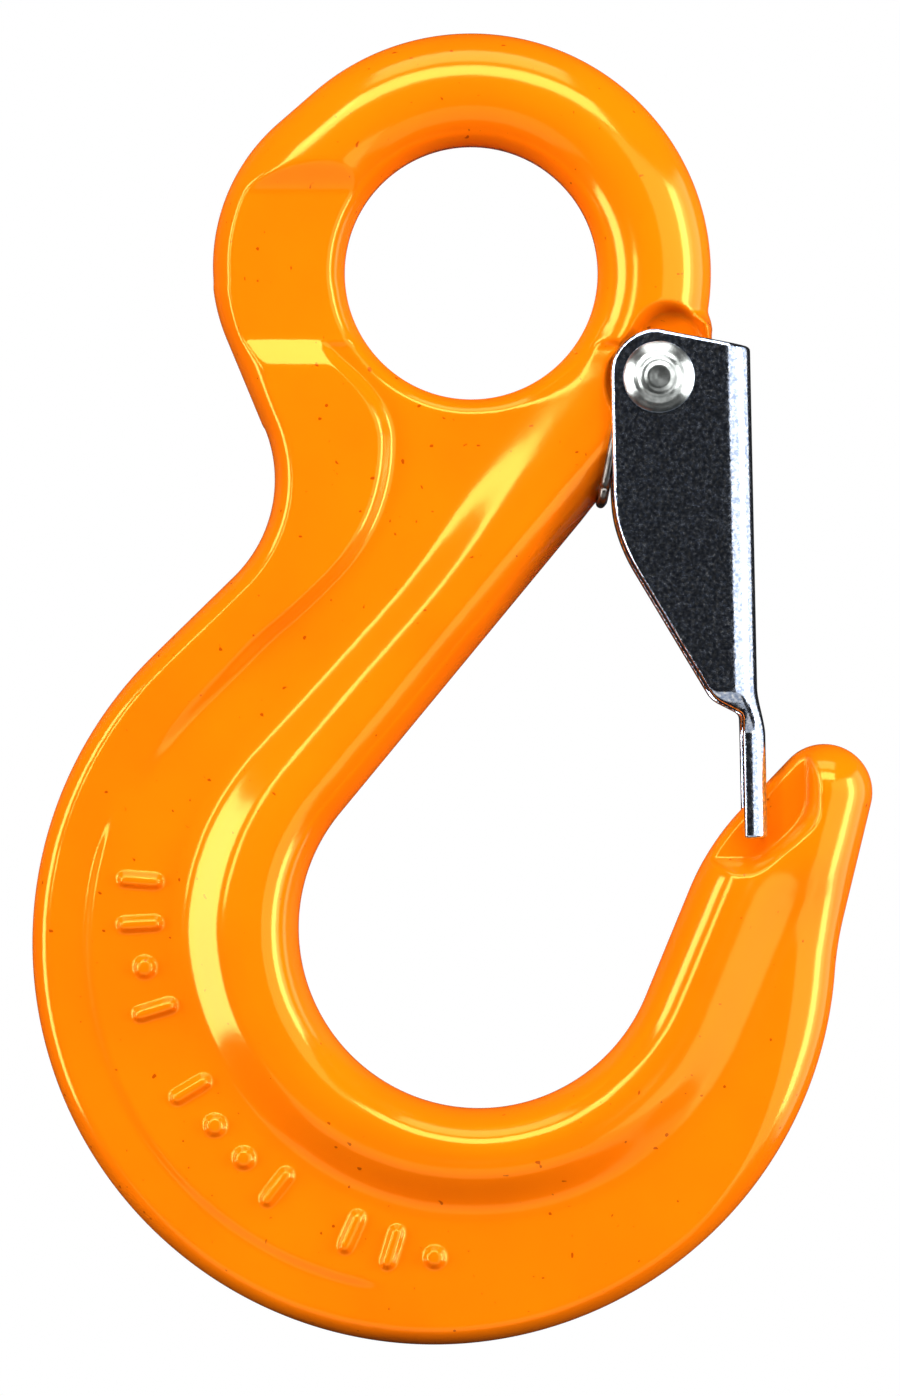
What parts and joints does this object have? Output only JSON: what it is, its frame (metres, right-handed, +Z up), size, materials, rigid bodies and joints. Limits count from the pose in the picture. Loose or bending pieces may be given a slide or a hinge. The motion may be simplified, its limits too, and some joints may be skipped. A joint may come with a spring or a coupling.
{
  "type": "eye sling hook with latch",
  "caption": "Forged eye sling hook with a wide bowl, a flattened link seat on the eye and a sprung sheet-steel latch that swings inwards across the throat.",
  "frame": {"origin": "centre of the bore through the eye, half way through the hook's thickness", "axes": "+Z up through the eye with the hook hanging, +X towards the tip and the latch, +Y along the eye's bore; the hook's front faces -Y"},
  "size_m": [0.1428, 0.0336, 0.2231],
  "materials": {
    "lacquered_forging": "gloss orange lacquer over forged alloy steel",
    "plated_sheet": "zinc-plated sheet steel, semi-gloss, finely scratched",
    "plated_rivet": "zinc-plated steel, satin, spun head",
    "spring_wire": "dark oiled spring steel"
  },
  "bodies": {
    "hook": {"hook_body": "lacquered_forging", "latch_spring": "spring_wire"},
    "latch": {"latch": "plated_sheet", "latch_rivet": "plated_rivet"}
  },
  "joints": [
    {"name": "latch_pivot", "type": "hinge", "parent": "hook", "child": "latch", "pos_m": [0.0316, 0, -0.0181], "axis": [0, 1, 0], "range_deg": [0, 45], "stiffness_Nm_per_rad": 0.12, "springref_deg": -40.11, "deforming": ["latch_spring"]}
  ]
}
